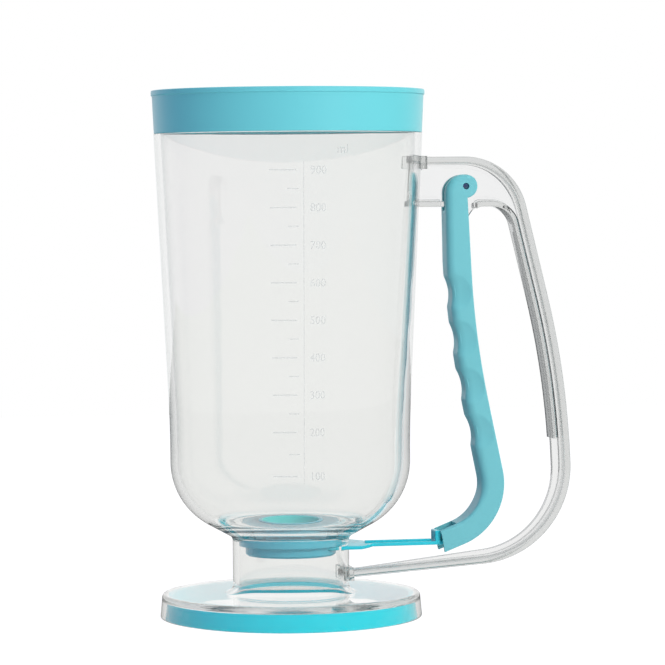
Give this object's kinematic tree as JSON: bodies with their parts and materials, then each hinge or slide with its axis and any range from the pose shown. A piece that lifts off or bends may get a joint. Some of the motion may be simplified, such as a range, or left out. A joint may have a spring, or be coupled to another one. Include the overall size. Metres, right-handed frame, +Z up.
{
  "type": "batter dispenser",
  "caption": "Clear jug on a hollow foot with a press-on lid, a clear handle and a squeeze trigger that slides a flat gate open under the bottom outlet.",
  "frame": {"origin": "centre of the base ring's underside, on the axis of the jug, where the dispenser stands on a table", "axes": "+Z up along the axis of the jug, +X towards the handle and trigger, +Y to the left of somebody who looks along +X"},
  "size_m": [0.1726, 0.1112, 0.215],
  "materials": {
    "clear_body": "clear moulded plastic",
    "turquoise_lid": "satin moulded plastic",
    "clear_handle": "clear moulded plastic",
    "turquoise_trigger": "satin moulded plastic",
    "steel_pin": "turned steel",
    "spring_steel": "drawn wire",
    "cyan_gate": "smooth moulded plastic",
    "turquoise_seat": "smooth moulded plastic",
    "turquoise_outlet": "smooth moulded plastic",
    "cyan_ring": "smooth moulded plastic"
  },
  "bodies": {
    "jug": {"container": "clear_body", "handle": "clear_handle", "pivot_pin": "steel_pin", "return_spring": "spring_steel", "valve_seat": "turquoise_seat", "outlet_ring": "turquoise_outlet", "base_ring": "cyan_ring"},
    "lid": {"lid": "turquoise_lid"},
    "trigger": {"trigger": "turquoise_trigger"},
    "gate": {"gate_slider": "cyan_gate"}
  },
  "joints": [
    {"name": "trigger_squeeze", "type": "hinge", "parent": "jug", "child": "trigger", "pos_m": [0.0729, 0, 0.1756], "axis": [0, -1, 0], "range_deg": [0, 10], "stiffness_Nm_per_rad": 0.6, "springref_deg": -17.19, "deforming": ["return_spring"]},
    {"name": "gate_slide", "type": "slide", "parent": "jug", "child": "gate", "axis": [1, 0, 0], "range_m": [0, 0.0251]},
    {"name": "lid_lift", "type": "slide", "parent": "jug", "child": "lid", "axis": [0, 0, 1], "range_m": [0, 0.04]}
  ],
  "couplings": [
    {"joint": "gate_slide", "follows": "trigger_squeeze", "m_per_rad": 0.1437}
  ]
}
